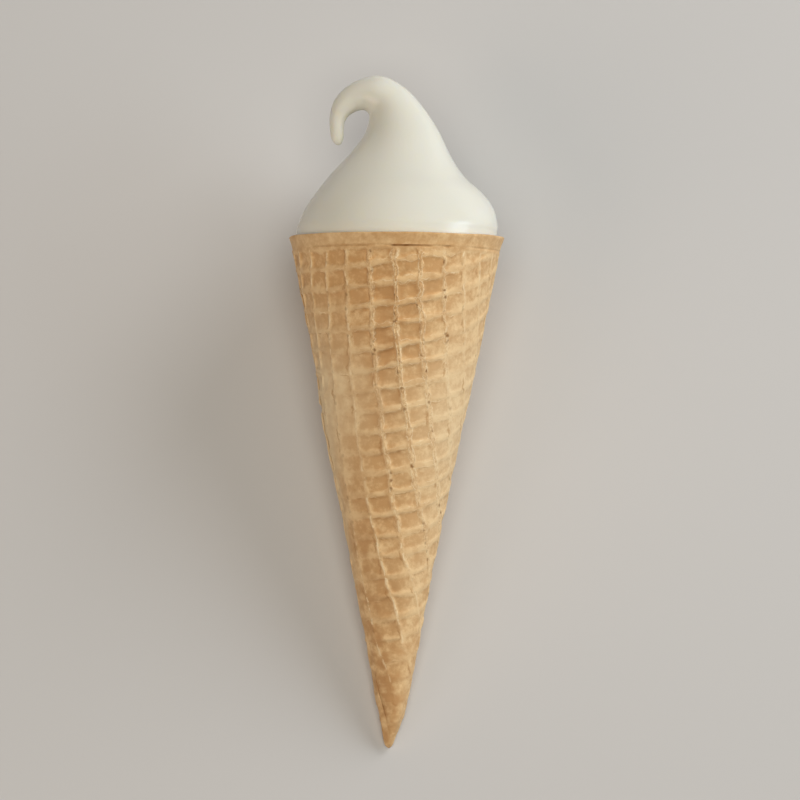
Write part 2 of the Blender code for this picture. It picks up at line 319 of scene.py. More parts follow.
# Where the sheet is most toasted.
TOASTED_PATCHES = on_cone(
    (108, -38, 22, 36, 0.48),
    (100, -5, 22, 14, 0.4),
    (114, 24, 24, 38, 0.45),
    (60, -44, 24, 30, 0.65),
    (30, -35, 22, 45, 0.8),
    (10, -10, 16, 80, 1.15),
    (45, 52, 24, 38, 0.22),
    (72, 20, 16, 26, 0.3),
)

# Where the iron pressed hard, so that the pockets are deeper and browner.
DEEP_PATCHES = on_cone(
    (70, -8, 80, 11, 0.65),
    (112, -2, 24, 28, 0.6),
    (36, -24, 28, 40, 0.6),
)

# Where the iron pressed lightly, so that the ribs are faint.
FAINT_PATCHES = on_cone(
    (112, 76, 50, 42, 0.5),
    (60, 50, 50, 36, 0.45),
    (82, -50, 24, 32, 0.6),
    (50, -66, 30, 30, 0.5),
    (60, 180, 60, 40, 0.3),
)

# Where the sheet is paler than elsewhere. The last two, along the left edge, are a painted reflection.
PALE_AND_REFLECTED_PATCHES = on_cone(
    (95, -52, 15, 38, 1.0),
    (88, 36, 20, 50, 0.42),
    (42, 10, 22, 50, 0.25),
    (100, 160, 40, 50, 0.4),
    (134, -60, 2.6, 50, 0.45),
    (88, 62, 34, 36, 0.35),
    (84, -84, 26, 34, 1.0),
    (56, -84, 32, 28, 0.7),
)

# Where the wall is dented, with a depth for the strength. It swells where that is negative.
DENTS = on_cone(
    (104, -88, 10.5, 34, 0.48 * MM),
    (54, -88, 17, 34, 0.32 * MM),
    (107, 88, 13, 34, -0.3 * MM),
)

# Where the ribs are torn and rough: height above the tip, column, reach up and across, strength.
ROUGH_PATCHES = (
    (118 * MM, 0.2, 30 * MM, 1.9, 1.0),
    (72 * MM, 0.3, 26 * MM, 1.6, 0.6),
    (95 * MM, 9.0, 40 * MM, 2.5, 0.7),
    (80 * MM, -7.0, 30 * MM, 1.5, 0.6),
)

# The stretches of the sunk line under the band, with its painted shade: from one turn to another, and how
# deep.
GROOVE_STRETCHES = (
    (radians(-52), radians(-13), 0.4),
    (radians(-4), radians(21), 0.8),
    (radians(25), radians(32), 0.6),
    (radians(110), radians(150), 0.6),
    (radians(190), radians(240), 0.8),
)
GROOVE_FADE = radians(3)

# The relief fades out over this height below the band.
BAND_BLEND = 1.3 * MM

# The band's rings, by heights above its foot: in its groove, and where its side starts, with its steps.
GROOVE_RINGS = (0.1 * MM, 0.45 * MM)
SIDE_START, SIDE_STEPS = 0.6 * MM, 8

# The bevel of its inner edge, and how far below the rim the plain inside starts.
INNER_BEVEL, INSIDE_DROP = 0.3 * MM, 1.5 * MM

# How uneven the band's radius and its edges' heights are, and how far down its top edge is toasted.
BAND_WAVE, EDGE_WAVE, EDGE_TOASTED = 0.08 * MM, 0.15 * MM, 1.6 * MM

# Where the ribs are most out of line: row and column of the middle, reach in cells, and what is added there
# to their fine straying, as a multiple of it.
ASTRAY_ROW, ASTRAY_COLUMN, ASTRAY_REACH, ASTRAY_ADDED = 0.7, 1.4, 2.2, 2.8


def sheet_point(wafer, rim_slant, column, row):
    """A point of the flat sheet, counted in cells, with the apex at the origin and the rim towards +Y."""
    across = column * wafer.column_pitch
    along = wafer.row_start + row * wafer.row_pitch
    along += tan(wafer.row_slope) * across - wafer.row_sag * across**2
    below_rim = rim_slant - along
    across *= 1 + wafer.column_splay * below_rim
    across += wafer.column_start + wafer.column_bow * (below_rim / rim_slant) ** 2
    return Vector((across, along, 0))


def wander(wafer, column, row):
    """How far the ribs stray from their true lines at a place, in cells."""
    spot = Vector((column * 0.8, row * 0.8, 3.7))
    fine = Vector((column * 2.7, row * 2.7, 8.2))
    in_patch = bump(row, ASTRAY_ROW, ASTRAY_REACH) * bump(column, ASTRAY_COLUMN, ASTRAY_REACH)
    further = 1 + ASTRAY_ADDED * in_patch
    astray = noise.noise(spot) + 0.5 * further * noise.noise(fine)
    along = noise.noise(spot + Vector((31, 7, 0))) + 0.4 * further * noise.noise(fine + Vector((5, 40, 0)))
    return astray * wafer.rib_wander / wafer.column_pitch, along * wafer.rib_wander / wafer.row_pitch


def crowded(place, crowding):
    """Moves an evenly spread place, counted in cells, closer to its nearest rib."""
    return place - crowding * sin(2 * pi * place) / (2 * pi)


def flat_sheet(wafer, rim_slant):
    """The flat sheet as a fine grid. Its map counts the cells, so that the ribs run along whole numbers."""
    bm = bmesh.new()
    columns = COLUMNS_LEFT + COLUMNS_RIGHT
    rows = ROWS_ABOVE + ROWS_BELOW
    bmesh.ops.create_grid(bm, x_segments=columns * wafer.detail, y_segments=rows * wafer.detail, size=0.5)
    cell_map = bm.loops.layers.uv.new(SHEET_MAP)
    for vert in bm.verts:
        column = crowded((vert.co.x + 0.5) * columns - COLUMNS_LEFT, wafer.crowding)
        row = crowded((vert.co.y + 0.5) * rows - ROWS_BELOW, wafer.crowding)
        for loop in vert.link_loops:
            loop[cell_map].uv = column, row
        astray, along = wander(wafer, column, row)
        vert.co = sheet_point(wafer, rim_slant, column + astray, row + along)
    return bm


def seam_turn(cone, wafer, slant):
    """The angle round the axis of the seam, at a distance from the apex."""
    direction = Vector((-sin(wafer.seam_lean), cos(wafer.seam_lean), 0))
    reach = SEAM_POINT.dot(direction)
    miss = SEAM_POINT.length_squared - reach**2
    point = SEAM_POINT + direction * (max(slant**2 - miss, 0) ** 0.5 - reach)
    return atan2(point.x, point.y) / sin(cone.half_angle)


def seam_open(slant):
    """How much of the step at the seam shows, at a distance from the apex. Most of it is pressed shut."""
    loose = smooth((slant - SEAM_SHUT_END) / (SEAM_LOOSE_START - SEAM_SHUT_END))
    shown = max(bump(slant, SEAM_OPEN_MIDDLE, SEAM_OPEN_REACH), loose)
    return SEAM_SHUT_SHARE + (1 - SEAM_SHUT_SHARE) * shown


def seam_lift(cone, wafer, slant, angle):
    """How far the sheet stands out where it lies on its own start."""
    ramp = (angle - seam_turn(cone, wafer, slant) - SEAM_RAMP_START) / (SEAM_RAMP_END - SEAM_RAMP_START)
    flush = smooth((slant - SEAM_FLUSH_START) / (SEAM_FLUSH_END - SEAM_FLUSH_START))
    step = wafer.seam_step * seam_open(slant)
    return smooth(ramp) * (step + flush * (wafer.seam_step_at_rim - step))


def cut_to_one_turn(bm, cone, wafer, rim_slant):
    """Cuts the sheet at the seam, at the line that meets it after one turn, and well beyond the rim."""
    seam_tag = bm.edges.layers.int.new("seam")
    for tag, turned in ((1, 0), (2, -2 * pi * sin(cone.half_angle))):
        placed = Matrix.Rotation(turned, 3, "Z")
        outward = Vector((-cos(wafer.seam_lean), -sin(wafer.seam_lean), 0)) * (1 if tag == 1 else -1)
        cut = bmesh.ops.bisect_plane(
            bm, geom=bm.verts[:] + bm.edges[:] + bm.faces[:], dist=1e-7,
            plane_co=placed @ SEAM_POINT, plane_no=placed @ outward, clear_outer=True)
        for item in cut["geom_cut"]:
            if isinstance(item, bmesh.types.BMEdge):
                item[seam_tag] = tag
    beyond = [vert for vert in bm.verts if vert.co.length > rim_slant + wafer.row_pitch]
    bmesh.ops.delete(bm, geom=beyond, context="VERTS")
    bmesh.ops.delete(bm, geom=[vert for vert in bm.verts if not vert.link_faces], context="VERTS")


def in_patches(patches, height, angle):
    """What the patches of one kind add up to at a place on the cone."""
    total = 0
    for patch_height, patch_angle, reach_up, reach_round, strength in patches:
        off = (angle - patch_angle + pi) % (2 * pi) - pi
        total += strength * bump(height, patch_height, reach_up) * bump(off, 0, reach_round)
    return total


def tearing(height, column):
    """How torn the column ribs are in this region."""
    rough = 0
    for patch_height, patch_column, reach_up, reach_across, strength in ROUGH_PATCHES:
        rough += strength * bump(height, patch_height, reach_up) * bump(column, patch_column, reach_across)
    return min(rough, 1)


def pocket_share(wafer, column, row, rough):
    """How far a point is down into a pocket: 0 on the ribs and 1 on the floor."""
    off_column = abs(column - round(column)) * wafer.column_pitch
    off_row = abs(row - round(row)) * wafer.row_pitch
    spot = Vector((column * 1.1, row * 1.1, 9.1))
    ragged = noise.noise(Vector((column * 5, row * 5, 6.6)))
    ragged += 0.5 * noise.noise(Vector((column * 11, row * 11, 2.6)))
    ragged *= wafer.ragged * (1 + 1.5 * rough)
    column_half = wafer.column_half * (1 + 1.2 * noise.noise(spot)) + wafer.torn_width * rough + ragged
    row_half = wafer.row_half * (1 + 1.6 * noise.noise(spot + Vector((17, 0, 0)))) + ragged
    row_fall = wafer.row_fall * (1 + 0.6 * noise.noise(spot * 1.7))
    short_of_column = max(1 - (off_column - column_half) / wafer.column_fall, 0)
    short_of_row = max(1 - (off_row - row_half) / row_fall, 0)
    return smooth(1 - (short_of_column**2 + short_of_row**2) ** 0.5)


def crest_share(wafer, column, row, rough):
    """How much of the torn crests along a rough rib's edges is at a point."""
    off = abs(column - round(column)) * wafer.column_pitch
    edge = bump(off, wafer.column_half + wafer.torn_width, 0.45 * wafer.torn_width)
    torn = noise.noise(Vector((column * 3, row * 6, 4.4))) + 0.45
    return max(rough * edge * torn, 0)


def batter_height(wafer, column, row, pocket, crest):
    """The height of the sheet's surface over its rib tops."""
    depth = 1 + 0.8 * noise.noise(Vector((column * 0.5, row * 0.5, 5.5)))
    depth = wafer.pocket_depth * (depth + 0.5 * noise.noise(Vector((column * 1.3, row * 1.3, 7.5))))
    lumps = noise.noise(Vector((column * 2.3, row * 2.1, 1.3)))
    lumps += 0.5 * noise.noise(Vector((column * 6, row * 5, 2)))
    return wafer.lumps * lumps + wafer.crest * crest - depth * pocket


def relief_left(height, angle):
    """How strong the relief is at a place on the cone."""
    kept = LEAST_RELIEF + (1 - LEAST_RELIEF) * smooth((height - FLAT_END) / (FULL_START - FLAT_END))
    faint = min(in_patches(FAINT_PATCHES, height, angle), MOST_FAINT)
    return kept * (1 - faint) * (1 + in_patches(DEEP_PATCHES, height, angle))


def bowed(wafer, height):
    """How far the cone's middle is off its axis at a height."""
    return wafer.bow * bump(height, BOW_MIDDLE, BOW_REACH) * smooth(height / BOW_START)


def pinched(wafer, height):
    """How much slimmer than the straight cone the lower end is at a height."""
    return wafer.pinch * max(1 - height / PINCH_END, 0) ** 1.3


def roll_up(bm, cone, wafer):
    """Gives the flat sheet its relief, notes how baked it is and where light is painted, and rolls it into
    the cone.
    """
    cell_map = bm.loops.layers.uv[SHEET_MAP]
    names = ("pocket", "crest", "toast", "pale", "rough", "crease", "plain", "relief")
    layers = {name: bm.verts.layers.float.new(name) for name in names}
    band_foot = cone.length - wafer.band_height
    for vert in bm.verts:
        column, row = vert.link_loops[0][cell_map].uv
        slant, angle = vert.co.length, atan2(vert.co.x, vert.co.y) / sin(cone.half_angle)
        up = slant * cos(cone.half_angle) - cone.apex_drop
        rough = tearing(up, column)
        below_band = smooth((band_foot - up) / BAND_BLEND)
        pocket = pocket_share(wafer, column, row, rough) * below_band
        crest = crest_share(wafer, column, row, rough) * below_band
        relief = relief_left(up, angle)
        out_of_true = wafer.warp * noise.noise(Vector((2.2 * cos(angle), 2.2 * sin(angle), slant * 45)))
        lift = seam_lift(cone, wafer, slant, angle) - in_patches(DENTS, up, angle)
        lift += below_band * (out_of_true + relief * batter_height(wafer, column, row, pocket, crest))
        radius = slant * sin(cone.half_angle) + lift * cos(cone.half_angle) - pinched(wafer, up)
        height = up - lift * sin(cone.half_angle)
        vert.co = (radius * sin(angle) + bowed(wafer, height), -radius * cos(angle), height)
        past_seam = (angle - seam_turn(cone, wafer, slant)) * radius
        vert[layers["pocket"]] = pocket * (0.5 + 0.5 * relief)
        vert[layers["crest"]] = crest
        vert[layers["toast"]] = in_patches(TOASTED_PATCHES, height, angle)
        # Paler batter, and a painted reflection along the left edge.
        vert[layers["pale"]] = in_patches(PALE_AND_REFLECTED_PATCHES, height, angle)
        vert[layers["rough"]] = rough
        # Painted shade in the seam's crease.
        vert[layers["crease"]] = SEAM_CREASE_SHADE * bump(past_seam, 0, SEAM_CREASE_SHADE_REACH) * seam_open(slant)
        vert[layers["plain"]] = 1 - below_band
        vert[layers["relief"]] = relief


def trim(bm, height, outward):
    """Cuts the rolled sheet square to the axis and drops what is outward."""
    bmesh.ops.bisect_plane(
        bm, geom=bm.verts[:] + bm.edges[:] + bm.faces[:], dist=1e-7,
        plane_co=(0, 0, height), plane_no=(0, 0, outward), clear_outer=True)


def close_seam(bm):
    """Joins the sheet's end to its start with the step between them."""
    seam_tag = bm.edges.layers.int["seam"]
    seam = [edge for edge in bm.edges if edge[seam_tag] and edge.is_boundary]
    bmesh.ops.bridge_loops(bm, edges=seam)


def open_loop(bm, height):
    """The open edges that lie at a height."""
    near = 0.005 * MM
    return [e for e in bm.edges if e.is_boundary and all(abs(v.co.z - height) < near for v in e.verts)]


def grow_ring(bm, edges, centre, radius_at, height_at):
    """Extrudes a ring of open edges. The new radius and height are functions of the turn from the front."""
    grown = bmesh.ops.extrude_edge_only(bm, edges=edges)["geom"]
    verts = [item for item in grown if isinstance(item, bmesh.types.BMVert)]
    for vert in verts:
        angle = atan2(vert.co.x - centre, -vert.co.y)
        radius = radius_at(angle)
        vert.co = (centre + radius * sin(angle), -radius * cos(angle), height_at(angle))
    return [item for item in grown if isinstance(item, bmesh.types.BMEdge)], verts


def groove_share(angle):
    """How deep the line under the band is, and how dark its painted shade, round the cone."""
    angle = angle % (2 * pi)
    deepest = 0
    for start, end, depth in GROOVE_STRETCHES:
        for whole in (0, 2 * pi):
            inside = min(angle - start - whole, end + whole - angle)
            deepest = max(deepest, depth * smooth(inside / GROOVE_FADE))
    return deepest * (0.8 + 0.6 * noise.noise(Vector((9 * cos(angle), 9 * sin(angle), 0.5))))


def unevenness(angle, height, size):
    """A slow wave round a ring, for hand-made edges."""
    return size * noise.noise(Vector((2.4 * cos(angle), 2.4 * sin(angle), height * 300)))


def band_rings(cone, wafer):
    """The band's rings, from its groove over its top edge to the inside: radius, height, flare and groove."""
    foot = cone.length - wafer.band_height
    top = cone.length + wafer.band_rise
    inside = cone.wall / cos(cone.half_angle)
    outer_end = top - wafer.band_round
    rings = [(wall_radius(cone, foot), foot + above, 0, 1) for above in GROOVE_RINGS]
    for step in range(SIDE_STEPS + 1):
        up = step / SIDE_STEPS
        height = foot + SIDE_START + (outer_end - foot - SIDE_START) * up
        rings.append((wall_radius(cone, height), height, smooth(up * 1.2 - 0.2), 0))
    outer = rings[-1][0]
    for angle in (30, 60, 90):
        radius = outer - wafer.band_round * (1 - cos(radians(angle)))
        rings.append((radius, outer_end + wafer.band_round * sin(radians(angle)), 1, 0))
    inner = wall_radius(cone, cone.length) - inside
    rings.append((inner + INNER_BEVEL, top, 1, 0))
    rings.append((inner, top - INNER_BEVEL, 0.8, 0))
    for height in (cone.length - INSIDE_DROP, cone.length / 2, cone.foot):
        rings.append((wall_radius(cone, height) - inside, height, 0, 0))
    return rings


def add_rim_band(bm, cone, wafer):
    """Builds the plain band, its top edge and the wafer's inside from the sheet's upper edge."""
    names = ("crease", "toast", "pale", "pocket", "crest", "rough", "plain")
    layers = {name: bm.verts.layers.float[name] for name in names}
    edges = open_loop(bm, cone.length - wafer.band_height)
    for radius, height, flared, groove in band_rings(cone, wafer):
        def ring_radius(angle, radius=radius, height=height, flared=flared, groove=groove):
            flare = flared * wafer.band_flare * (1 + 0.4 * sin(angle))
            sunk = groove * wafer.groove_depth * groove_share(angle)
            return radius + flare + unevenness(angle, height, BAND_WAVE) - sunk

        def ring_height(angle, height=height, flared=flared, groove=groove):
            tilt = flared * wafer.band_tilt * max(sin(angle), 0) ** 2
            return height + tilt + unevenness(angle, 0.02, EDGE_WAVE * max(flared, groove))
        edges, verts = grow_ring(bm, edges, 0, ring_radius, ring_height)
        for vert in verts:
            angle = atan2(vert.co.x, -vert.co.y)
            vert[layers["plain"]] = 1
            vert[layers["pocket"]], vert[layers["crest"]], vert[layers["rough"]] = 0, 0, 0
            # Painted shade in the line under the band.
            vert[layers["crease"]] = groove * groove_share(angle)
            top_edge = bump(height, cone.length + wafer.band_rise, EDGE_TOASTED) * (0.5 + 0.1 * sin(angle))
            vert[layers["toast"]] = top_edge + 0.2 * max(sin(angle), 0)
            vert[layers["pale"]] = in_patches(PALE_AND_REFLECTED_PATCHES, vert.co.z, angle)
    bmesh.ops.edgeloop_fill(bm, edges=edges)


def add_tip(bm, cone, wafer):
    """Rounds off the lower end."""
    edges = open_loop(bm, TIP_START)
    for height in TIP_HEIGHTS:
        rounding = (1 - max(1 - height / wafer.tip_radius, 0) ** 2) ** 0.5
        radius = (wall_radius(cone, height) - pinched(wafer, height)) * rounding

        def ring_radius(_, radius=radius):
            return radius

        def ring_height(_, height=height):
            return height
        edges = grow_ring(bm, edges, bowed(wafer, height), ring_radius, ring_height)[0]
    bmesh.ops.edgeloop_fill(bm, edges=edges)


def wafer_mesh(cone, wafer):
    """The whole wafer, upright."""
    rim_slant = (cone.length + cone.apex_drop) / cos(cone.half_angle)
    bm = flat_sheet(wafer, rim_slant)
    cut_to_one_turn(bm, cone, wafer, rim_slant)
    roll_up(bm, cone, wafer)
    trim(bm, cone.length - wafer.band_height, 1)
    trim(bm, TIP_START, -1)
    close_seam(bm)
    add_rim_band(bm, cone, wafer)
    add_tip(bm, cone, wafer)
    return bm


# -----------------------------------------------------------------------------
# The wafer's finish
# -----------------------------------------------------------------------------

def add_attribute(tree, name):
    """Adds an Attribute node, and returns its number."""
    return add_node(tree, "Attribute", attribute_name=name).outputs["Fac"]


def add_noise(tree, vector, scale, detail=2.0, roughness=0.5):
    """Adds a Noise Texture node, and returns its number."""
    inputs = {"Vector": vector, "Scale": scale, "Detail": detail, "Roughness": roughness}
    return add_node(tree, "TexNoise", inputs).outputs["Fac"]


def wafer_material(wafer):
    """Baked batter: pale ribs, browned pockets, toasted patches, cracks and pits along the column ribs;
    painted shade and reflection.
    """
    material, tree, shader = new_material("baked_wafer")
    times = partial(add_math, tree, "MULTIPLY")
    plus = partial(add_math, tree, "ADD")
    minus = partial(add_math, tree, "SUBTRACT")
    larger = partial(add_math, tree, "MAXIMUM")
    times_plus = partial(add_math, tree, "MULTIPLY_ADD")
    unsigned = partial(add_math, tree, "ABSOLUTE")
    ranged = partial(add_range, tree)
    noisy = partial(add_noise, tree)
    mixed = partial(add_mix, tree)
    cells = add_node(tree, "UVMap", uv_map=SHEET_MAP).outputs["UV"]
    place = add_node(tree, "TexCoord").outputs["Object"]
    pocket, toast, pale = (add_attribute(tree, name) for name in ("pocket", "toast", "pale"))
    rough, crest = (add_attribute(tree, name) for name in ("rough", "crest"))
    crease, plain, kept = (add_attribute(tree, name) for name in ("crease", "plain", "relief"))
    sharp = ranged(kept, 0.2, 0.8)
    ribbed = minus(1.0, plain)
    blotches = noisy(place, 260.0, 3.0)
    mottle = noisy(place, 700.0, 3.0, 0.6)
    grain = noisy(place, 1900.0, 2.0, 0.6)

    # Each pocket is browned by its own amount, darkest under the row rib above, which is partly painted
    # shade.
    # The band is browned evenly.
    axes = add_node(tree, "SeparateXYZ", {"Vector": cells})
    column, row = axes.outputs["X"], axes.outputs["Y"]
    cell = add_node(tree, "VectorMath", {0: cells}, operation="FLOOR").outputs["Vector"]
    luck = add_node(tree, "TexWhiteNoise", {"Vector": cell}, noise_dimensions="2D").outputs["Value"]
    by_cell = times_plus(luck, 0.55, noisy(cells, 0.6, 2.0))
    amount = ranged(by_cell, 0.4, 1.05, 0.45, 1.05)
    up = add_math(tree, "FRACT", row)
    upper_edge_brown_and_shade = times(ranged(up, 0.58, 0.84), ranged(mottle, 0.38, 0.6))
    amount = times_plus(upper_edge_brown_and_shade, 0.4, amount)
    from_column = add_math(tree, "PINGPONG", column, 0.5)
    from_row = add_math(tree, "PINGPONG", row, 0.5)
    torn = times(rough, ribbed)
    on_torn_rib = times(torn, ranged(from_column, 0.08, 0.15, 1.0, 0.0))
    browned = times(ranged(pocket, 0.1, 1.15), amount)
    browned = larger(browned, times(on_torn_rib, 0.4))
    browned = times_plus(plain, 0.56, times(browned, ribbed))
    calm = ranged(plain, 0.0, 1.0, 1.0, 0.8)
    for pattern, depth in ((blotches, 0.26), (mottle, 0.38), (grain, 0.16)):
        uneven = ranged(pattern, 0.3, 0.7, -depth, depth)
        browned = times_plus(uneven, calm, browned)
    specks = ranged(noisy(place, 1500.0, 1.0), 0.36, 0.64, -0.6, 1.0)
    browned = times_plus(specks, on_torn_rib, browned)
    toasted = times(toast, ranged(blotches, 0.3, 0.65, 0.0, 1.6))

    # Torn crests along both sides of the rough column ribs and here and there on the row ribs, and cracks.
    # The column ribs that aren't torn have a bright ridge instead.
    strays = ranged(noisy(cells, 1.7, 2.0), 0.25, 0.75, -0.07, 0.07)
    strays = plus(strays, ranged(noisy(cells, 6.0, 2.0), 0.25, 0.75, -0.03, 0.03))
    gaps = ranged(noisy(cells, 2.6, 3.0), 0.42, 0.52)
    lines = []
    kinds = ((from_column, 0.085, 0.026), (from_row, 0.1, 0.03), (from_column, 0.03, 0.03))
    for off_rib, distance, width in kinds:
        line = minus(plus(off_rib, strays), distance)
        line = ranged(unsigned(line), 0.0, width, 1.0, 0.0)
        lines.append(times(times(line, gaps), torn))
    shred = larger(lines[0], times(lines[1], 0.6))
    ridge = ranged(unsigned(times_plus(strays, 0.4, from_column)), 0.0, 0.05, 1.0, 0.0)
    ridge = times(times(ridge, gaps), minus(ribbed, torn))
    ridge = times(ridge, sharp)
    crack = times(lines[2], ranged(mottle, 0.45, 0.55))

    # The row ribs' lower edges are sharp here and there: a bright lip with a brown shadow under it.
    lip_gaps = times(ribbed, ranged(noisy(cells, 1.4, 2.0), 0.5, 0.62))
    lip_gaps = times(lip_gaps, ranged(from_column, 0.1, 0.18))
    lip_gaps = times(lip_gaps, sharp)
    edges = []
    for level, width in ((0.885, 0.035), (0.815, 0.05)):
        edge = minus(plus(up, strays), level)
        edge = ranged(unsigned(edge), 0.0, width, 1.0, 0.0)
        edges.append(times(edge, lip_gaps))
    lip, shadow = edges

    # Painted shade on the column ribs' left flanks, in short brown dashes.
    beside = minus(add_math(tree, "FRACT", plus(column, strays)), 0.88)
    left_flank_shade = ranged(unsigned(beside), 0.0, 0.07, 1.0, 0.0)
    left_flank_shade = times(left_flank_shade, ranged(noisy(cells, 1.1, 3.0), 0.53, 0.62))
    left_flank_shade = times(left_flank_shade, times(ribbed, 0.7))

    # Pits along the column ribs, most of all where they are torn, darkened with painted shade.
    spots = add_node(tree, "TexVoronoi", {"Vector": cells, "Scale": 3.4, "Randomness": 1.0})
    pit = plus(spots.outputs["Distance"], ranged(mottle, 0.3, 0.7, -0.13, 0.13))
    pit = ranged(pit, 0.06, 0.46, 1.0, 0.0)
    chosen = add_node(tree, "SeparateColor", {"Color": spots.outputs["Color"]}).outputs[0]
    pit = times(pit, ranged(chosen, 0.54, 0.58))
    pit = times(pit, ranged(from_column, 0.07, 0.13, 1.0, 0.0))
    pit = times(pit, ranged(rough, 0.05, 0.5, 0.3, 1.0))
    pit = times(pit, ribbed)

    # Colour.
    made = mixed(browned, wafer.rib_colour, wafer.pocket_colour)
    made = mixed(times(pale, 0.6), made, wafer.pale_colour)
    made = mixed(times(toasted, 0.6), made, wafer.toast_colour)
    bright = larger(larger(shred, crest), ridge)
    bright = larger(bright, times(lip, 0.6))
    made = mixed(times(bright, 0.75), made, wafer.crest_colour)
    # Painted shade beside the column ribs and painted shadow under the row ribs, with the real cracks.
    shade_and_cracks = larger(left_flank_shade, times(shadow, 0.55))
    shade_and_cracks = larger(shade_and_cracks, times(crack, 0.8))
    made = mixed(shade_and_cracks, made, wafer.crack_and_shade_colour)
    # Painted shade in the pits, the seam's crease and the line under the band.
    pit_and_crease_shade = larger(times(pit, 0.85), times(crease, 0.8))
    made = mixed(pit_and_crease_shade, made, wafer.crease_shade_colour)
    tree.links.new(made, shader.inputs["Base Color"])

    # Fine relief, in millimetres.
    relief = times(grain, 0.05)
    relief = times_plus(mottle, 0.12, relief)
    relief = times_plus(shred, 0.1, relief)
    relief = minus(relief, times(crack, 0.06))
    relief = minus(relief, times(pit, 0.03))
    raised = add_node(tree, "Bump", {"Height": relief, "Distance": MM, "Strength": 0.8})
    tree.links.new(raised.outputs["Normal"], shader.inputs["Normal"])
    shader.inputs["Roughness"].default_value = wafer.roughness
    tree.links.new(ranged(pit_and_crease_shade, 0.0, 1.0, 0.35, 0.0), shader.inputs["Specular IOR Level"])
    return material


# -----------------------------------------------------------------------------
# The soft serve
# -----------------------------------------------------------------------------

# Each station gives the height above the rim, the shift to the right and the radius, in millimetres, and
# how far the section leans over to the left, in degrees.
STATIONS = (
    (-1.5, -0.15, 26.3, 0),
    (0.0, -0.15, 26.5, 0),
    (2.1, 0.0, 26.4, 0),
    (4.3, 0.13, 25.93, 0),
    (8.6, 0.0, 23.85, 0),
    (12.8, 0.3, 21.3, 0),
    (17.1, 0.0, 17.65, 0),
    (22.4, 0.65, 13.5, 0),
    (27.7, 1.05, 10.25, 3),
    (33.0, -0.65, 7.6, 18),
    (36.75, -3.0, 5.95, 38),
    (38.9, -6.85, 5.0, 68),
    (38.0, -11.2, 3.85, 98),
    (35.4, -14.6, 3.0, 126),
    (32.5, -16.0, 2.3, 152),
    (29.8, -16.2, 1.9, 176),
    (27.2, -16.0, 1.7, 186),
    (25.6, -15.8, 1.1, 186),
    (25.0, -15.7, 0.4, 186),
)


def eased(values, part):
    """A smooth curve's value between the two middle ones of four, after Catmull and Rom."""
    before, start, end, after = values
    curve = 2 * start + (end - before) * part
    curve += (2 * before - 5 * start + 4 * end - after) * part**2
    curve += (3 * start - before - 3 * end + after) * part**3
    return curve / 2


def cream_sections(rings):
    """The soft serve's sections above the rim, close together."""
    padded = (STATIONS[0], *STATIONS, STATIONS[-1])
    sections = []
    for first in range(len(STATIONS) - 1):
        for step in range(rings):
            sections.append([eased(values, step / rings) for values in zip(*padded[first:first + 4])])
    return sections + [STATIONS[-1]]


def add_section(bm, sides, centre, radius, lean):
    """Adds one open ring, and returns its edges in order."""
    place = Matrix.Translation(centre) @ Matrix.Rotation(-lean, 4, "Y")
    ring = bmesh.ops.create_circle(bm, segments=sides, radius=radius, matrix=place)
    return list(dict.fromkeys(edge for vert in ring["verts"] for edge in vert.link_edges))


def swell_lobe(bm, cone, cream):
    """Swells the first turn of the swirl, which is fullest on the right and climbs towards the back."""
    for vert in bm.verts:
        height = vert.co.z - cone.length
        if height > 0:
            around = atan2(vert.co.y, vert.co.x)
            fullness = ((1 + cos(around)) / 2) ** 4
            middle = cream.lobe_height + cream.lobe_pitch * around / (2 * pi)
            swell = cream.lobe_swell * fullness * bump(height, middle, cream.lobe_spread)
            vert.co.x += swell * cos(around)
            vert.co.y += swell * sin(around)


def cream_mesh(cone, cream):
    """The soft serve, upright: a plug that fills the wafer, and the leaning, curled peak on it."""
    bm = bmesh.new()
    inset = (cone.wall - cone.gap) / cos(cone.half_angle) ** 2
    rings = [add_section(bm, cream.sides, (0, 0, cone.foot), wall_radius(cone, cone.foot) - inset, 0)]
    for height, shift, radius, lean in cream_sections(cream.rings):
        centre = (shift * MM, 0, cone.length + height * MM)
        rings.append(add_section(bm, cream.sides, centre, radius * MM, radians(lean)))
    for below, above in zip(rings, rings[1:]):
        bmesh.ops.bridge_loops(bm, edges=below + above)
    bmesh.ops.edgeloop_fill(bm, edges=rings[0])
    bmesh.ops.edgeloop_fill(bm, edges=rings[-1])
    swell_lobe(bm, cone, cream)
    return bm


def cream_material(cream):
    """Smooth frozen cream: satin, with light that spreads inside it and faint streaks."""
    material, tree, shader = new_material("soft_serve_cream")
    place = add_node(tree, "TexCoord").outputs["Object"]
    stretched = add_node(tree, "Mapping", {"Vector": place, "Scale": (1.0, 0.12, 1.0)}).outputs["Vector"]
    streaks = add_noise(tree, stretched, 700.0, 3.0)
    raised = add_node(tree, "Bump", {"Height": streaks, "Distance": cream.streak, "Strength": 0.5})
    tree.links.new(raised.outputs["Normal"], shader.inputs["Normal"])
    tint = add_mix(tree, add_noise(tree, place, 60.0), cream.colour, [0.97 * part for part in cream.colour])
    tree.links.new(tint, shader.inputs["Base Color"])
    shader.inputs["Roughness"].default_value = cream.roughness
    shader.inputs["Specular IOR Level"].default_value = 0.68
    shader.inputs["Subsurface Weight"].default_value = 0.6
    shader.inputs["Subsurface Radius"].default_value = (1.0, 0.85, 0.6)
    shader.inputs["Subsurface Scale"].default_value = cream.glow_depth
    return material


# -----------------------------------------------------------------------------
# The studio
# -----------------------------------------------------------------------------

# In metres.
FLOOR_SIZE = 6.0
LIGHT_DISTANCE = 1.2


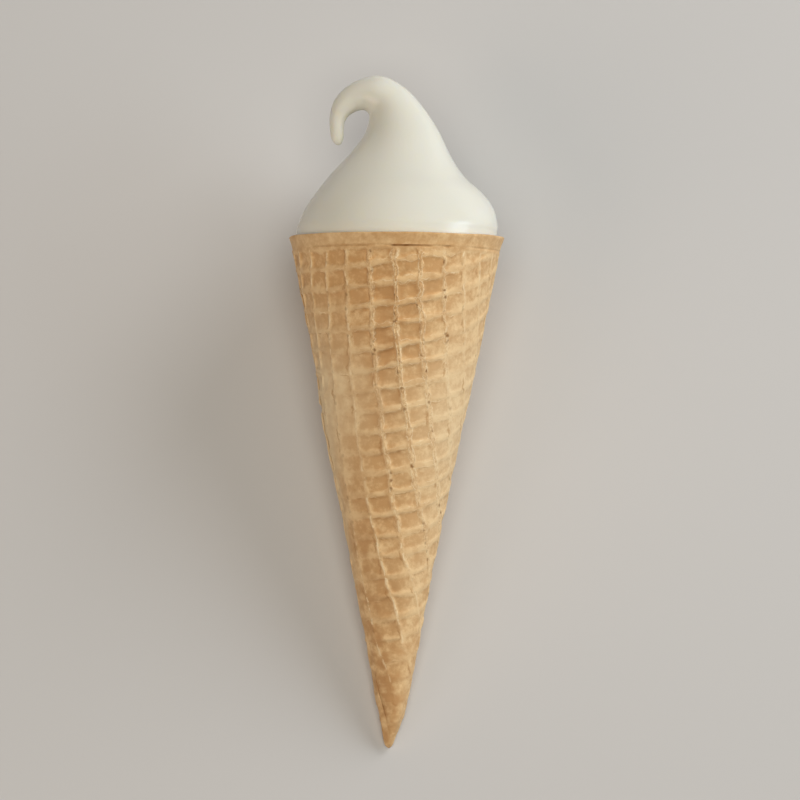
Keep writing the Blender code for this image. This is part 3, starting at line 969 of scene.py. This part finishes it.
def add_floor(stage):
    """A pale floor on the level that the cone lies on."""
    material, tree, shader = new_material("pale_floor")
    place = add_node(tree, "TexCoord").outputs["Object"]
    darker = [0.985 * part for part in stage.floor_colour]
    tint = add_mix(tree, add_noise(tree, place, 3.0), stage.floor_colour, darker)
    tree.links.new(tint, shader.inputs["Base Color"])
    shader.inputs["Roughness"].default_value = 0.8
    bm = bmesh.new()
    bmesh.ops.create_grid(bm, x_segments=1, y_segments=1, size=FLOOR_SIZE / 2)
    mesh = bpy.data.meshes.new("floor")
    bm.to_mesh(mesh)
    bm.free()
    mesh.materials.append(material)
    floor = bpy.data.objects.new("floor", mesh)
    bpy.context.scene.collection.objects.link(floor)


def add_softbox(name, watts, size, toward, target, tint, mirrored):
    """A square light that faces the target from a direction, and is or isn't mirrored in glossy surfaces."""
    data = bpy.data.lights.new(name, "AREA")
    data.energy = watts
    data.size = size
    data.color = tint
    light = bpy.data.objects.new(name, data)
    light.location = target + toward * LIGHT_DISTANCE
    light.rotation_euler = toward.to_track_quat("Z", "Y").to_euler()
    light.visible_camera = False
    light.visible_glossy = mirrored
    bpy.context.scene.collection.objects.link(light)


def add_lights(cone, stage):
    """Four soft lights, each turned from the cone's right towards its peak, and up towards the camera."""
    laid = lying(cone)
    target = laid @ Vector((0, 0, stage.camera_height))
    softboxes = (
        ("key", stage.key_watts, 0.62, 5, 16, (0.74, 0.88, 1.0), True),
        ("rim", stage.rim_watts, 0.7, 45, 20, (1.0, 0.97, 0.98), False),
        ("front", stage.front_watts, 0.8, 90, 86, (1.0, 0.97, 0.9), False),
        ("fill", stage.fill_watts, 0.7, 205, 38, (1.0, 0.81, 0.68), True),
    )
    for name, watts, size, turned, up, tint, mirrored in softboxes:
        level = cos(radians(up))
        toward = Vector((level * cos(radians(turned)), -sin(radians(up)), level * sin(radians(turned))))
        add_softbox(name, watts, size, laid.to_3x3() @ toward, target, tint, mirrored)


def add_camera(cone, stage):
    """The camera that looks square at the cone's shown side."""
    data = bpy.data.cameras.new("camera")
    data.angle = stage.view_angle
    data.clip_start, data.clip_end = 0.05, 20
    camera = bpy.data.objects.new("camera", data)
    spot = Matrix.Translation((stage.camera_side, -stage.camera_distance, stage.camera_height))
    facing = Matrix.Rotation(pi / 2, 4, "X") @ Matrix.Rotation(stage.camera_roll, 4, "Z")
    camera.matrix_world = lying(cone) @ spot @ facing
    bpy.context.scene.collection.objects.link(camera)
    bpy.context.scene.camera = camera


# -----------------------------------------------------------------------------
# Operators and panel
# -----------------------------------------------------------------------------

class RollWafer(bpy.types.Operator):
    """Bakes the sheet and rolls it into the cone"""

    bl_idname = "soft_serve.roll_wafer"
    bl_label = "Roll the wafer"

    def execute(self, context):
        cone, wafer = context.scene.serve_cone, context.scene.serve_wafer
        bm = wafer_mesh(cone, wafer)
        bmesh.ops.transform(bm, matrix=lying(cone), verts=bm.verts)
        # The flat spot that it lies on.
        for vert in bm.verts:
            vert.co.z = max(vert.co.z, 0)
        piece = add_piece("rolled_wafer", bm, wafer_material(wafer), "wafer_cone")
        piece.data.set_sharp_from_angle(angle=radians(60))
        return {"FINISHED"}


class PipeCream(bpy.types.Operator):
    """Fills the wafer with soft serve and draws up its peak"""

    bl_idname = "soft_serve.pipe_cream"
    bl_label = "Pipe the soft serve"

    def execute(self, context):
        cone, cream = context.scene.serve_cone, context.scene.serve_cream
        bm = cream_mesh(cone, cream)
        bmesh.ops.transform(bm, matrix=lying(cone), verts=bm.verts)
        add_piece("piped_cream", bm, cream_material(cream), "soft_serve")
        return {"FINISHED"}


class SetStage(bpy.types.Operator):
    """Lays the floor and sets the lights and the camera"""

    bl_idname = "soft_serve.set_stage"
    bl_label = "Set the stage"

    def execute(self, context):
        cone, stage = context.scene.serve_cone, context.scene.serve_stage
        add_floor(stage)
        add_lights(cone, stage)
        context.scene.view_settings.view_transform = "Standard"
        add_camera(cone, stage)
        return {"FINISHED"}


class ServePanel(bpy.types.Panel):
    """Lists the steps in the order that they are done"""

    bl_idname = "VIEW3D_PT_soft_serve"
    bl_label = "Soft Serve Cone"
    bl_space_type = "VIEW_3D"
    bl_region_type = "UI"
    bl_category = "Soft Serve"

    def draw(self, context):
        scene = context.scene
        steps = (
            (RollWafer, scene.serve_wafer),
            (PipeCream, scene.serve_cream),
            (SetStage, scene.serve_stage),
        )
        for operator, settings in steps:
            box = self.layout.box()
            for name in settings.__annotations__:
                box.prop(settings, name)
            box.operator(operator.bl_idname)


CLASSES = (
    ConeSettings, WaferSettings, CreamSettings, StageSettings, RollWafer, PipeCream, SetStage, ServePanel)
SCENE_SETTINGS = {
    "serve_cone": ConeSettings,
    "serve_wafer": WaferSettings,
    "serve_cream": CreamSettings,
    "serve_stage": StageSettings,
}


def register():
    """Adds the classes and the scene's settings."""
    for part in CLASSES:
        bpy.utils.register_class(part)
    for name, settings in SCENE_SETTINGS.items():
        setattr(bpy.types.Scene, name, PointerProperty(type=settings))


def unregister():
    """Takes them out again."""
    for name in SCENE_SETTINGS:
        delattr(bpy.types.Scene, name)
    for part in reversed(CLASSES):
        bpy.utils.unregister_class(part)


def main():
    """Makes the pieces and the studio in order."""
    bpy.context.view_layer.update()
    register()
    bpy.ops.soft_serve.roll_wafer()
    bpy.ops.soft_serve.pipe_cream()
    bpy.ops.soft_serve.set_stage()


if __name__ == "__main__":
    main()
